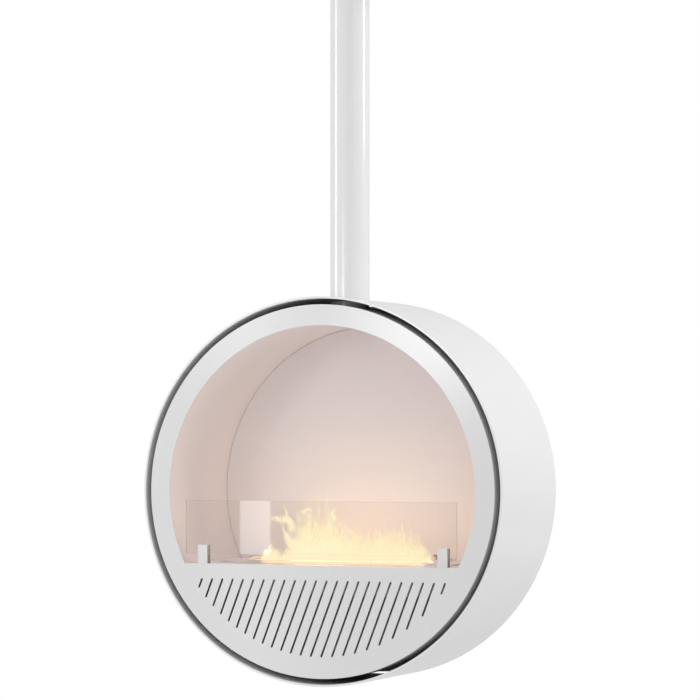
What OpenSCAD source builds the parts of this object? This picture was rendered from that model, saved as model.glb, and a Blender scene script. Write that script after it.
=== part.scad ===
// Hanging fireplace: a round drum with an open liquid-fuel fire, hung by one tube from a
// ceiling fitting with a thrust bearing, on which it turns.
// Millimetres. The origin is the centre of the ceiling plate's top face, +Z points up and
// the open front of the drum faces -Y. Pieces of the drum are drawn about the drum's own
// axis, which runs along Y, and are then lowered to the drum's height.

/* [Drum] */
// Outer diameter of the drum
drum_d = 800; // [760:10:860]
// Depth of the drum from its front rim to its rear rim
drum_depth = 328; // [318:2:360]
// Wall of the outer shell
shell_wall = 4.5; // [3:0.5:6]
// Open gap between the outer shell and the inner drum
shadow_gap = 12; // [9:0.5:13]
// Sheet thickness of the inner casing
casing_wall = 2; // [1.5:0.5:2.5]
// Width of the casing's inward lips
casing_lip = 18; // [17:0.5:20]
// How far the rear panel is set in from the rear rim
rear_recess = 4; // [3.5:0.5:7]
// Thickness of the rear panel
rear_panel_t = 2; // [1.5:0.5:3]
// Open gap between the rear panel's edge and the outer shell
rear_panel_gap = 4; // [3:0.5:6]

/* [Front panel] */
// Thickness of the front panel
panel_t = 3; // [2:0.5:4]
// Width of the panel's ring round the opening
panel_ring = 42.5; // [40:0.5:48]
// Height of the drum's axis above the sill of the opening
sill_drop = 152; // [145:1:160]
// Number of slanted slots
slot_count = 24; // [12:1:26]
// Width of a slot
slot_w = 4.5; // [2.5:0.5:5.5]
// Distance from slot to slot
slot_pitch = 23.57; // [21:0.01:25]
// Slant of the slots from upright, in degrees
slot_slant = 21.1; // [0:0.1:30]
// Depth of the slots' upper ends below the sill
slot_drop = 32.4; // [28:0.1:50]
// Sideways shift of the row of slots
slot_shift = 5.6; // [-8:0.1:8]
// How far inside the opening's circle the slots end
slot_rim = 1.3; // [0:0.1:4]

/* [Firebox] */
// How far the panel's edge stands in front of the liner
liner_overhang = 7; // [5:0.5:8]
// Sheet thickness of the liner and of the firebox back
liner_wall = 2; // [1.5:0.5:2.5]
// Space from the face of the firebox back to the rear rim
rear_space = 32.7; // [31:0.1:40]
// Width of the fine seam round the firebox back
seam_gap = 1; // [0.5:0.1:1.5]
// Thickness of the insulation round the liner
blanket_t = 12; // [8:1:12]
// Thickness of the insulation behind the firebox back
back_blanket_t = 14; // [8:1:15]
// Thickness of the hearth floor
floor_t = 3; // [2.5:0.5:4]
// Leg of the angle rails under the hearth floor
rail_leg = 25; // [20:1:28]
// Wall of the angle rails
rail_wall = 2; // [1.5:0.5:3]

/* [Glass] */
// Thickness of the glass pane
glass_t = 5; // [4:0.5:6]
// Height of the glass pane
glass_h = 111; // [90:1:130]
// Height of the pane's lower edge above the hearth floor
glass_foot = 20; // [17:0.5:26]
// Mean gap from the pane's lower corners to the liner
glass_side_gap = 19; // [10:0.5:30]
// Sideways shift of the pane in its clips
glass_shift = -6; // [-8:0.5:8]
// How far the glass clips stand behind the drum's front rim
clip_setback = 9; // [7:0.5:14]
// Width of a glass clip
clip_w = 22; // [18:0.5:28]
// Height of a glass clip
clip_h = 38.5; // [34:0.5:44]
// Thickness of a clip's cheek in front of and behind the glass
clip_cheek = 4; // [2.5:0.5:4.5]
// Mean distance from the ends of the pane to the middles of the clips
clip_inset = 35; // [20:0.5:60]
// Thickness of the pad under the glass
pad_t = 2; // [1:0.5:3]

/* [Burner] */
// Length of the burner tank
tank_l = 480; // [450:5:500]
// Width of the burner tank
tank_w = 110; // [104:2:120]
// Height of the burner tank
tank_h = 60; // [52:1:76]
// Sheet thickness of the tank and the spill tray
tank_wall = 1.5; // [1:0.5:2]
// Gap all round between the tank and the spill tray
tray_gap = 5; // [3:0.5:7]
// Width of the spill tray's flange on the hearth floor
tray_flange = 12; // [8:1:14]
// Thickness of the burner top
burner_top_t = 3; // [2.5:0.5:4]
// Length of the flame slot
flame_l = 400; // [300:5:410]
// Width of the flame slot
flame_w = 44; // [36:1:48]
// How far the flame slot lies in front of the tank's middle
flame_offset = 16; // [14:0.5:18]
// How far the tank's middle lies in front of the pole's axis
burner_forward = 8; // [0:1:20]
// Depth of the absorbent fuel wool
wool_h = 42; // [30:1:44]
// Thickness of the sliding lid
lid_t = 2.5; // [2:0.5:3]
// How far the closed lid covers the edges of the flame slot
lid_lap = 6; // [4:0.5:7]

/* [Pole] */
// Outer diameter of the pole
pole_d = 82.5; // [76:0.5:90]
// Wall of the pole
pole_wall = 3; // [2.5:0.5:4]
// Distance from the ceiling to the top of the drum
pole_drop = 730; // [500:10:1500]
// Thickness of the flange at the pole's foot
flange_t = 8; // [6:0.5:9]
// Thickness of the saddle at its middle
saddle_t = 12; // [11.5:0.5:13]

/* [Ceiling fitting] */
// Diameter of the ceiling plate
plate_d = 170; // [160:2:200]
// Thickness of the ceiling plate
plate_t = 12; // [10:1:16]
// Diameter of the circle of anchor holes
anchor_pcd = 130; // [118:1:134]
// Diameter of an anchor hole
anchor_hole_d = 11; // [9:0.5:13]
// Diameter of the hanger spindle
spindle_d = 25; // [22:1:28]
// Length of the guide bush
bush_l = 44; // [36:1:50]
// Height of the thrust bearing
bearing_h = 11; // [10:0.5:13]
// Gap between the ceiling plate and the top of the pole
turn_gap = 3; // [2:0.5:6]
// Height of the ceiling cover
cover_h = 70; // [60:1:90]
// Wall of the ceiling cover
cover_wall = 1.5; // [1:0.5:2.5]

/* [Clearances] */
// Radial gap between a thread and its hole, and between a bush and its seat
thread_gap = 0.05; // [0.02:0.01:0.1]
// Radial gap round a screw or stud in a plain hole
hole_gap = 0.4; // [0.3:0.1:0.6]
// Gap between a flat seat and the curved wall that it lies on
seat_gap = 0.1; // [0.08:0.01:0.15]
// Gap between pieces that slide or lift past each other
slide_gap = 0.3; // [0.2:0.05:0.4]
// Radial gap between the pole and the holes that it passes
pole_gap = 0.6; // [0.4:0.1:1]

/* [Hidden] */
$fn = 96;

// Finer steps for the wide curves on which thin pieces lie
wide_fn = 720;

// How far a cutting solid runs past the face that it cuts
past = 1;

// Finishes
paint_white = "whitesmoke";
paint_black = "dimgray";
paint_grey = "lightgray";
firebox_paint = "mistyrose";
bare_steel = "silver";
dark_steel = "slategray";

// Screw sizes, by thread diameter
m4 = 4;
m5 = 5;
m6 = 6;
m8 = 8;

// Radii of the drum, from the outside in
drum_r = drum_d / 2;
shell_r_in = drum_r - shell_wall;
casing_r = shell_r_in - shadow_gap;
casing_r_in = casing_r - casing_wall;
lip_r_in = casing_r - casing_lip;
lip_hole_r = casing_r - casing_lip / 2;
opening_r = casing_r - panel_ring;
liner_r_in = opening_r + liner_overhang;
liner_r = liner_r_in + liner_wall;

// Places along the drum's depth, from the front rim back
front_y = -drum_depth / 2;
rear_y = drum_depth / 2;
panel_back_y = front_y + panel_t;
firebox_back_y = rear_y - rear_space;
liner_lip_y = firebox_back_y + liner_wall;
liner_rear_y = liner_lip_y + liner_wall;
rear_panel_y = rear_y - rear_recess - rear_panel_t;
rear_panel_r = shell_r_in - rear_panel_gap;

// Heights about the drum's axis
drum_z = -(pole_drop + drum_r);
hearth_z = -sill_drop;
floor_under_z = hearth_z - floor_t;

// Places of the repeated fasteners
lip_angles = [for (i = [0:7]) 22.5 + 45 * i];
stud_angles = [40, 140, 220, 320];
stud_row_inset = 64;
stud_row_y = drum_depth / 2 - stud_row_inset;
back_stud_angles = [for (i = [0:5]) -15 + 42 * i];
back_lip_w = 18;
back_lip_r_in = liner_r_in - back_lip_w;
back_stud_r = liner_r_in - back_lip_w / 2;

// Studs that hold the shell off the casing
stud_base_r = 7;
stud_base_h = 1.5;
stud_base_top = sqrt(shell_r_in * shell_r_in - stud_base_r * stud_base_r) - seat_gap / 2;
stud_base_foot = stud_base_top - stud_base_h;
shell_nut_top = casing_r_in - 2 * seat_gap;

// Row of slots
slot_top_z = hearth_z - slot_drop;
slot_way = [-sin(slot_slant), -cos(slot_slant)];
slot_end_r = opening_r - slot_rim - slot_w / 2;
function slot_top(i) = [slot_shift + (i - (slot_count - 1) / 2) * slot_pitch, slot_top_z];
// Distance from a slot's upper end to the circle on which the slots end
function slot_run(i) = let (p = slot_top(i), b = p * slot_way)
    sqrt(max(0, b * b - p * p + slot_end_r * slot_end_r)) - b;

// Half of the chord that a circle of radius r has at a height z from its centre
function half_chord(r, z) = sqrt(r * r - z * z);

// Hearth floor and its rails
floor_ledge = 8;
floor_rear_ledge = 6;
floor_screw_inset = 33;
front_rail_inset = 33;
rear_rail_inset = 45;
floor_half_w = half_chord(liner_r, sill_drop) + floor_ledge;
floor_rear_y = liner_rear_y + floor_rear_ledge;
floor_screw_x = floor_half_w - floor_screw_inset;
front_rail_y = panel_back_y + front_rail_inset;
rear_rail_y = floor_rear_y - rear_rail_inset;

// Glass, its slot in the clips and the clips' places
clip_front_y = front_y + clip_setback;
glass_slot_y = clip_front_y + clip_cheek;
glass_slot_w = glass_t + 2 * slide_gap;
clip_rear_y = glass_slot_y + glass_slot_w + clip_cheek;
clip_mid_y = (clip_front_y + clip_rear_y) / 2;
glass_z = hearth_z + glass_foot;
glass_half_w = half_chord(liner_r_in, -glass_z) - glass_side_gap;
clip_x = glass_half_w - clip_inset;
clip_chamfer = 0.6;
clip_screw_spread = 5.5;
clip_screw_l = 14;

// Burner, from the outside in
burner_y = -burner_forward;
tray_l = tank_l + 2 * (tray_gap + tank_wall);
tray_w = tank_w + 2 * (tray_gap + tank_wall);
tray_h = tank_h + tray_gap + tank_wall;
tray_flange_z = hearth_z + tank_wall;
top_lap = 2;
top_l = tray_l + 2 * (tray_flange + top_lap);
top_w = tray_w + 2 * (tray_flange + top_lap);
top_z = tray_flange_z + burner_top_t;
tank_floor_z = tray_flange_z - tank_h + tank_wall;
screen_t = 1;
flame_y = burner_y - flame_offset;

// Lid: open it lies behind the flame slot, closed it covers the slot
lid_rest_gap = 2;
lid_end_lap = 8;
lid_l = flame_l + 2 * lid_end_lap;
lid_w = flame_w + 2 * lid_lap;
lid_front_y = flame_y + flame_w / 2 + lid_rest_gap;
lid_travel = flame_w + lid_lap + lid_rest_gap;
lid_z = top_z + slide_gap;
guide_side_gap = 0.8;
guide_w = 8;
guide_reach = 5;
guide_lip_t = 1.5;
guide_end_gap = 2;
guide_x = lid_l / 2 + guide_side_gap;
guide_lip_z = lid_z + lid_t + slide_gap;
guide_top_z = guide_lip_z + guide_lip_t;
guide_front_y = lid_front_y - lid_travel - guide_end_gap;
guide_rear_y = lid_front_y + lid_w + guide_end_gap;
guide_mid_y = (guide_front_y + guide_rear_y) / 2;
guide_screw_spread = 36;
knob_inset = 24;
knob_x = lid_l / 2 - knob_inset;

// Pole and what it stands on
pole_r = pole_d / 2;
pole_r_in = pole_r - pole_wall;
pole_top_z = -(plate_t + turn_gap);
saddle_z = casing_r_in - saddle_t;
flange_z = saddle_z - flange_t;
flange_bolt_reach = 15;
flange_edge = 14;
saddle_edge = 10;
saddle_bolt_reach = 25;
flange_bolt_r = pole_r + flange_bolt_reach;
flange_r = flange_bolt_r + flange_edge;
saddle_half = flange_r + saddle_edge;
saddle_bolt_angle = asin((pole_r + saddle_bolt_reach) / casing_r);
saddle_bolt_y = 60;
flange_bolt_bite = 7;
saddle_bolt_l = 7.5;

// Ceiling fitting, from the ceiling down
plate_r = plate_d / 2;
spindle_r = spindle_d / 2;
spindle_step = 0.5;
spindle_head_edge = 12;
spindle_head_t = 5.7;
spindle_head_sink = 0.3;
spindle_end_l = 4;
spindle_thread_r = spindle_r - spindle_step;
spindle_head_r = spindle_r + spindle_head_edge;
pole_head_set_in = 2;
head_top_z = pole_top_z - pole_head_set_in;
washer_top_z = head_top_z - bush_l;
ball_z = washer_top_z - bearing_h / 2;
nut_top_z = washer_top_z - bearing_h;
nut_h = 22;
nut_wall = 5.5;
nut_z = nut_top_z - nut_h;
nut_corner_r = (spindle_r + nut_wall) / cos(30);
nut_slot_w = 6;
nut_slot_h = 7;
pin_r = 2.2;
pin_z = nut_z + nut_slot_h / 2;
spindle_end_z = nut_z - spindle_end_l;
bush_wall = 3.5;
bush_r = spindle_r + bush_wall;
washer_wall = 8.4;
washer_r = spindle_r + washer_wall;
washer_half_gap = 1.9;
washer_t = bearing_h / 2 - washer_half_gap;
ball_r = 2.8;
ball_play = 0.05;
ball_ring_reach = 4.4;
ball_ring_r = spindle_r + ball_ring_reach;
ball_count = 12;
nut_room = 5;
nut_room_r = nut_corner_r + nut_room;
head_skirt = bearing_h + nut_room;
head_screw_z = head_top_z - bush_l / 2;
head_screw_l = 14;
cover_play = 0.3;
cover_top_gap = 0.5;
cover_r_in = plate_r + cover_play;
cover_r = cover_r_in + cover_wall;
cover_bend = 6;
cover_hole_r = pole_r + 2 * pole_gap;
cover_screw_z = -plate_t / 2;
cover_screw_l = 10;

// Points of an arc about c with radius r, from angle a0 to angle a1
function arc(c, r, a0, a1, steps = 6) =
    [for (i = [0:steps]) let (a = a0 + (a1 - a0) * i / steps) c + r * [cos(a), sin(a)]];

// Lowers a piece that is drawn about the drum's axis to the drum's height
module in_drum() {
    translate([0, 0, drum_z]) children();
}

// Cylinder along Y from y0, h long
module rod_y(r, y0, h) {
    translate([0, y0, 0]) rotate([-90, 0, 0]) cylinder(r = r, h = h);
}

// Ring along Y from y0, h long
module ring_y(r, r_in, y0, h) {
    difference() {
        rod_y(r, y0, h);
        rod_y(r_in, y0 - past, h + 2 * past);
    }
}

// Solid turned about the drum's axis from a profile of [radius, y] points
module turned_y(profile) {
    rotate([-90, 0, 0]) rotate_extrude() polygon(profile);
}

// Places children on a circle of radius r in the plane y, with their +Z to the front
module on_circle(r, y, angles) {
    for (a = angles)
        translate([r * cos(a), y, r * sin(a)]) rotate([90, 0, 0]) children();
}

// Places children at a radius on the drum, with their +Z pointing outwards
module radial(angle, y, r) {
    translate([0, y, 0]) rotate([0, -angle, 0]) translate([r, 0, 0])
        rotate([0, 90, 0]) children();
}

// Places children round the vertical axis at a radius, with their +Z pointing outwards
module round_pole(angles, r, z) {
    for (a = angles)
        rotate([0, 0, a]) translate([r, 0, z]) rotate([0, 90, 0]) children();
}

// Takes away everything under the hearth floor's top face
module above_hearth(rise = 0) {
    difference() {
        children();
        translate([-drum_r, -drum_depth, hearth_z + rise - drum_r])
            cube([drum_d, 2 * drum_depth, drum_r]);
    }
}

// Socket screw along Z: its head's seat is at 0, the head above it and the shank below
module socket_screw(d, l) {
    head_r = 0.92 * d;
    head_h = 0.55 * d;
    difference() {
        union() {
            cylinder(r1 = head_r, r2 = 0.7 * head_r, h = head_h);
            translate([0, 0, -l]) cylinder(d = d, h = l);
        }
        translate([0, 0, head_h / 3]) cylinder(d = 0.7 * d, h = head_h, $fn = 6);
    }
}

// Hexagon nut along Z, with its seat at 0 and its body below
module hex_nut(d) {
    difference() {
        translate([0, 0, -0.8 * d]) cylinder(r = 0.8 * d / cos(30), h = 0.8 * d, $fn = 6);
        translate([0, 0, -d]) cylinder(r = d / 2 + thread_gap, h = 2 * d);
    }
}

// Tapped or plain hole along Z, from 0 down to a depth
module hole(d, gap, depth) {
    translate([0, 0, -depth]) cylinder(r = d / 2 + gap, h = depth + past);
}

// Open box from outer sizes, with its rim at z
module open_box(l, w, h, wall, y, z) {
    difference() {
        translate([-l / 2, y - w / 2, z - h]) cube([l, w, h]);
        translate([-l / 2 + wall, y - w / 2 + wall, z - h + wall])
            cube([l - 2 * wall, w - 2 * wall, h]);
    }
}

// ---- Ceiling fitting ----

module ceiling_plate() {
    color(bare_steel) difference() {
        translate([0, 0, -plate_t]) cylinder(r = plate_r, h = plate_t);
        for (a = [45:90:315])
            rotate([0, 0, a]) translate([anchor_pcd / 2, 0, -plate_t - past])
                cylinder(d = anchor_hole_d, h = plate_t + 2 * past);
        translate([0, 0, -plate_t - past])
            cylinder(r = spindle_r + seat_gap, h = plate_t + 2 * past);
        translate([0, 0, -spindle_head_sink - spindle_head_t])
            cylinder(r = spindle_head_r + hole_gap, h = plate_t);
        round_pole([90, 210, 330], plate_r, cover_screw_z)
            hole(m4, thread_gap, cover_screw_l + past);
    }
}

module hanger_spindle() {
    color(dark_steel) difference() {
        union() {
            translate([0, 0, -spindle_head_sink - spindle_head_t])
                cylinder(r = spindle_head_r, h = spindle_head_t);
            translate([0, 0, nut_top_z])
                cylinder(r = spindle_r, h = -spindle_head_sink - nut_top_z);
            translate([0, 0, spindle_end_z])
                cylinder(r = spindle_thread_r, h = nut_top_z - spindle_end_z);
        }
        translate([-spindle_d, 0, pin_z]) rotate([0, 90, 0])
            cylinder(r = pin_r + hole_gap / 2, h = 2 * spindle_d);
    }
}

module castle_nut() {
    color(bare_steel) difference() {
        translate([0, 0, nut_z]) cylinder(r = nut_corner_r, h = nut_h, $fn = 6);
        translate([0, 0, nut_z - past])
            cylinder(r = spindle_thread_r + thread_gap, h = nut_h + 2 * past);
        for (a = [0, 60, 120])
            rotate([0, 0, a]) translate([-spindle_d, -nut_slot_w / 2, nut_z - past])
                cube([2 * spindle_d, nut_slot_w, nut_slot_h + past]);
    }
}

module split_pin() {
    eye_r = 4;
    leg_l = 6;
    reach = nut_corner_r + 2;
    color(bare_steel) union() {
        translate([-reach, 0, pin_z]) rotate([0, 90, 0]) cylinder(r = pin_r, h = 2 * reach);
        translate([-reach - eye_r, 0, pin_z]) rotate([90, 0, 0]) rotate_extrude()
            translate([eye_r, 0]) circle(r = 1.4);
        for (tilt = [50, 130])
            translate([reach - pin_r / 2, 0, pin_z]) rotate([0, tilt, 0])
                cylinder(r = 1.4, h = leg_l);
    }
}

module ball_track() {
    translate([0, 0, ball_z]) rotate_extrude()
        translate([ball_ring_r, 0]) circle(r = ball_r + ball_play);
}

module shaft_washer() {
    color(bare_steel) difference() {
        translate([0, 0, nut_top_z]) cylinder(r = washer_r - 0.3, h = washer_t);
        translate([0, 0, nut_top_z - past])
            cylinder(r = spindle_r + thread_gap, h = washer_t + 2 * past);
        ball_track();
    }
}

module housing_washer() {
    color(bare_steel) difference() {
        translate([0, 0, washer_top_z - washer_t]) cylinder(r = washer_r, h = washer_t);
        translate([0, 0, washer_top_z - washer_t - past])
            cylinder(r = spindle_r + 1.1, h = washer_t + 2 * past);
        ball_track();
    }
}

module bearing_balls() {
    color(bare_steel) for (i = [0:ball_count - 1])
        rotate([0, 0, 360 * i / ball_count]) translate([ball_ring_r, 0, ball_z])
            sphere(r = ball_r);
}

module ball_cage() {
    cage_t = 1.2;
    pocket_play = 0.15;
    color("goldenrod") difference() {
        translate([0, 0, ball_z - cage_t / 2]) cylinder(r = washer_r - 0.3, h = cage_t);
        translate([0, 0, ball_z - cage_t]) cylinder(r = spindle_r + 0.6, h = 2 * cage_t);
        for (i = [0:ball_count - 1])
            rotate([0, 0, 360 * i / ball_count])
                translate([ball_ring_r, 0, ball_z - cage_t])
                    cylinder(r = ball_r + pocket_play, h = 2 * cage_t);
    }
}

module guide_bush() {
    color("goldenrod") difference() {
        translate([0, 0, washer_top_z]) cylinder(r = bush_r, h = bush_l);
        translate([0, 0, washer_top_z - past])
            cylinder(r = spindle_r + thread_gap, h = bush_l + 2 * past);
    }
}

module ceiling_cover() {
    bend_centre = [cover_r - cover_bend, -cover_h + cover_bend];
    profile = concat(
        [[cover_r, -cover_top_gap]],
        arc(bend_centre, cover_bend, 0, -90),
        [[cover_hole_r, -cover_h], [cover_hole_r, -cover_h + cover_wall]],
        arc(bend_centre, cover_bend - cover_wall, -90, 0),
        [[cover_r_in, -cover_top_gap]]);
    color(paint_white) difference() {
        rotate_extrude() polygon(profile);
        round_pole([90, 210, 330], cover_r, cover_screw_z)
            hole(m4, hole_gap, cover_wall + past);
    }
}

module cover_screws() {
    color(bare_steel) round_pole([90, 210, 330], cover_r + seat_gap, cover_screw_z)
        socket_screw(m4, cover_screw_l);
}

// ---- Pole ----

module pole_head() {
    color(dark_steel) difference() {
        translate([0, 0, washer_top_z - head_skirt])
            cylinder(r = pole_r_in - 2 * thread_gap, h = bush_l + head_skirt);
        translate([0, 0, washer_top_z - past])
            cylinder(r = bush_r + thread_gap, h = bush_l + 2 * past);
        translate([0, 0, washer_top_z - washer_t])
            cylinder(r = washer_r + 2 * thread_gap, h = washer_t);
        translate([0, 0, washer_top_z - head_skirt - past])
            cylinder(r = nut_room_r, h = head_skirt + past - washer_t);
        round_pole([0:60:300], pole_r, head_screw_z)
            hole(m6, thread_gap, head_screw_l + past);
    }
}

module pole_head_screws() {
    color(bare_steel) round_pole([0:60:300], pole_r + 2 * seat_gap, head_screw_z)
        socket_screw(m6, head_screw_l);
}

module pole() {
    pole_foot_z = drum_z + saddle_z;
    color(paint_white) difference() {
        translate([0, 0, pole_foot_z]) cylinder(r = pole_r, h = pole_top_z - pole_foot_z);
        translate([0, 0, pole_foot_z - past])
            cylinder(r = pole_r_in, h = pole_top_z - pole_foot_z + 2 * past);
        round_pole([0:60:300], pole_r, head_screw_z) hole(m6, hole_gap, 2 * pole_wall);
    }
}

module pole_flange() {
    spigot_h = 14;
    color(paint_black) in_drum() difference() {
        union() {
            translate([0, 0, flange_z]) cylinder(r = flange_r, h = flange_t);
            translate([0, 0, saddle_z])
                cylinder(r = pole_r_in - 2 * thread_gap, h = spigot_h);
        }
        for (a = [30:60:330])
            rotate([0, 0, a]) translate([flange_bolt_r, 0, saddle_z])
                hole(m8, hole_gap, flange_t + past);
    }
}

module flange_bolts() {
    color(bare_steel) in_drum() for (a = [30:60:330])
        rotate([0, 0, a]) translate([flange_bolt_r, 0, flange_z]) rotate([180, 0, 0])
            socket_screw(m8, flange_t + flange_bolt_bite);
}

module saddle() {
    color(paint_black) in_drum() difference() {
        intersection() {
            translate([-saddle_half, -saddle_half, saddle_z])
                cube([2 * saddle_half, 2 * saddle_half, 2 * saddle_t]);
            rod_y(casing_r_in - seat_gap, -saddle_half - past, 2 * (saddle_half + past),
                  $fn = wide_fn);
        }
        translate([0, 0, saddle_z - past])
            cylinder(r = pole_r + pole_gap / 2, h = 2 * saddle_t);
        for (a = [30:60:330])
            rotate([0, 0, a]) translate([flange_bolt_r, 0, saddle_z]) rotate([180, 0, 0])
                hole(m8, thread_gap, flange_bolt_bite + seat_gap);
        for (side = [-1, 1], end = [-1, 1])
            radial(90 + side * saddle_bolt_angle, end * saddle_bolt_y, casing_r)
                hole(m6, thread_gap, saddle_bolt_l + seat_gap);
    }
}

module saddle_bolts() {
    color(paint_black) in_drum() for (side = [-1, 1], end = [-1, 1])
        radial(90 + side * saddle_bolt_angle, end * saddle_bolt_y, casing_r + seat_gap)
            socket_screw(m6, saddle_bolt_l);
}

// ---- Drum ----

module outer_shell() {
    rim_chamfer = 0.6;
    profile = [[drum_r - rim_chamfer, front_y], [drum_r, front_y + rim_chamfer],
               [drum_r, rear_y - rim_chamfer], [drum_r - rim_chamfer, rear_y],
               [shell_r_in + rim_chamfer, rear_y], [shell_r_in, rear_y - rim_chamfer],
               [shell_r_in, front_y + rim_chamfer], [shell_r_in + rim_chamfer, front_y]];
    color(paint_white) in_drum() difference() {
        turned_y(profile);
        translate([0, 0, shell_r_in / 2])
            cylinder(r = pole_r + pole_gap, h = drum_r);
    }
}

module shell_studs() {
    shank_end = casing_r_in - 1.2 * m6 - 2;
    color(paint_black) in_drum() for (a = stud_angles, end = [-1, 1])
        radial(a, end * stud_row_y, 0) union() {
            translate([0, 0, stud_base_foot]) cylinder(r = stud_base_r, h = stud_base_h);
            translate([0, 0, shank_end]) cylinder(d = m6, h = stud_base_top - shank_end);
        }
}

module shell_spacers() {
    foot = casing_r + seat_gap;
    color(paint_black) in_drum() for (a = stud_angles, end = [-1, 1])
        radial(a, end * stud_row_y, 0) difference() {
            translate([0, 0, foot]) cylinder(r = stud_base_r, h = stud_base_foot - foot);
            translate([0, 0, foot - past])
                cylinder(r = m6 / 2 + hole_gap, h = shadow_gap + 2 * past);
        }
}

module shell_nuts() {
    color(bare_steel) in_drum() for (a = stud_angles, end = [-1, 1])
        radial(a, end * stud_row_y, shell_nut_top) hex_nut(m6);
}

module inner_casing() {
    casing_end_y = rear_panel_y;
    profile = [[casing_r, panel_back_y], [casing_r, casing_end_y],
               [lip_r_in, casing_end_y], [lip_r_in, casing_end_y - casing_wall],
               [casing_r_in, casing_end_y - casing_wall],
               [casing_r_in, panel_back_y + casing_wall],
               [lip_r_in, panel_back_y + casing_wall], [lip_r_in, panel_back_y]];
    color(paint_grey) in_drum() difference() {
        turned_y(profile);
        translate([0, 0, casing_r / 2]) cylinder(r = pole_r + pole_gap, h = casing_r);
        for (side = [-1, 1], end = [-1, 1])
            radial(90 + side * saddle_bolt_angle, end * saddle_bolt_y, casing_r)
                hole(m6, hole_gap, 2 * casing_wall);
        for (a = stud_angles, end = [-1, 1])
            radial(a, end * stud_row_y, casing_r) hole(m6, hole_gap, 2 * casing_wall);
        on_circle(lip_hole_r, panel_back_y, lip_angles)
            hole(m5, hole_gap, casing_wall + past);
        on_circle(lip_hole_r, casing_end_y - casing_wall, lip_angles)
            hole(m5, thread_gap, casing_wall + past);
    }
}

// One slanted slot with round ends, cut through the panel
module slot_cut(i) {
    translate([slot_top(i)[0], panel_back_y + past, slot_top(i)[1]]) rotate([90, 0, 0])
        rotate([0, 0, -slot_slant]) union() {
            cylinder(d = slot_w, h = panel_t + 2 * past);
            translate([0, -slot_run(i), 0]) cylinder(d = slot_w, h = panel_t + 2 * past);
            translate([-slot_w / 2, -slot_run(i), 0])
                cube([slot_w, slot_run(i), panel_t + 2 * past]);
        }
}

module front_panel() {
    panel_stud_l = casing_wall + 0.8 * m5 + 2;
    color(paint_white) in_drum() union() {
        difference() {
            rod_y(casing_r, front_y, panel_t);
            above_hearth() rod_y(opening_r, front_y - past, panel_t + 2 * past);
            for (i = [0:slot_count - 1])
                if (slot_run(i) > slot_w) slot_cut(i);
        }
        on_circle(lip_hole_r, panel_back_y + panel_stud_l, lip_angles)
            cylinder(d = m5, h = panel_stud_l);
    }
}

module panel_nuts() {
    color(bare_steel) in_drum()
        on_circle(lip_hole_r, panel_back_y + casing_wall, lip_angles) hex_nut(m5);
}

module rear_panel() {
    color(paint_white) in_drum() difference() {
        rod_y(rear_panel_r, rear_panel_y, rear_panel_t);
        on_circle(lip_hole_r, rear_panel_y, lip_angles)
            hole(m5, hole_gap, rear_panel_t + past);
    }
}

module rear_panel_screws() {
    color(bare_steel) in_drum()
        on_circle(lip_hole_r, rear_panel_y + rear_panel_t, lip_angles)
            rotate([180, 0, 0]) socket_screw(m5, rear_panel_t + casing_wall + 2);
}

// ---- Firebox ----

module firebox_liner() {
    profile = [[liner_r_in, panel_back_y], [liner_r, panel_back_y],
               [liner_r, liner_rear_y], [back_lip_r_in, liner_rear_y],
               [back_lip_r_in, liner_lip_y], [liner_r_in, liner_lip_y]];
    color(firebox_paint) in_drum() difference() {
        above_hearth() turned_y(profile);
        on_circle(back_stud_r, liner_lip_y, back_stud_angles)
            hole(m5, hole_gap, liner_wall + past);
    }
}

module firebox_back() {
    back_stud_l = liner_wall + 0.8 * m5 + 2;
    color(firebox_paint) in_drum() union() {
        above_hearth() rod_y(liner_r_in - seam_gap, firebox_back_y, liner_wall);
        on_circle(back_stud_r, liner_lip_y + back_stud_l, back_stud_angles)
            cylinder(d = m5, h = back_stud_l);
    }
}

module firebox_back_nuts() {
    color(bare_steel) in_drum()
        on_circle(back_stud_r, liner_rear_y, back_stud_angles) hex_nut(m5);
}

module liner_insulation() {
    blanket_r_in = liner_r + slide_gap;
    front_gap = 4;
    color("beige") in_drum() difference() {
        above_hearth() ring_y(blanket_r_in + blanket_t, blanket_r_in,
                              panel_back_y + front_gap,
                              liner_rear_y - panel_back_y - front_gap);
        translate([0, 0, liner_r / 2]) cylinder(r = flange_r + 6, h = drum_r);
    }
}

module back_insulation() {
    color("beige") in_drum() above_hearth(slide_gap)
        rod_y(back_lip_r_in - 3, liner_lip_y + slide_gap, back_blanket_t);
}

module hearth_floor() {
    cut_l = tray_l + 2 * past;
    cut_w = tray_w + 2 * past;
    color(firebox_paint) in_drum() difference() {
        translate([-floor_half_w, panel_back_y, floor_under_z])
            cube([2 * floor_half_w, floor_rear_y - panel_back_y, floor_t]);
        translate([-cut_l / 2, burner_y - cut_w / 2, floor_under_z - past])
            cube([cut_l, cut_w, floor_t + 2 * past]);
        for (p = floor_screw_places())
            translate([p[0], p[1], hearth_z]) union() {
                hole(m5, hole_gap, floor_t + past);
                translate([0, 0, -m5 / 2])
                    cylinder(r1 = m5 / 2, r2 = m5 + past, h = m5 / 2 + past);
            }
        for (side = [-1, 1], spread = [-1, 1])
            translate([side * clip_x + spread * clip_screw_spread, clip_mid_y, hearth_z])
                hole(m4, hole_gap, floor_t + past);
    }
}

// Centres of the floor screws, over the middle of each rail's flat leg
function floor_screw_places() =
    [for (x = [-1, 0, 1], y = [front_rail_y, rear_rail_y])
        [x * floor_screw_x, y + rail_leg / 2 + rail_wall / 2]];

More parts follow.
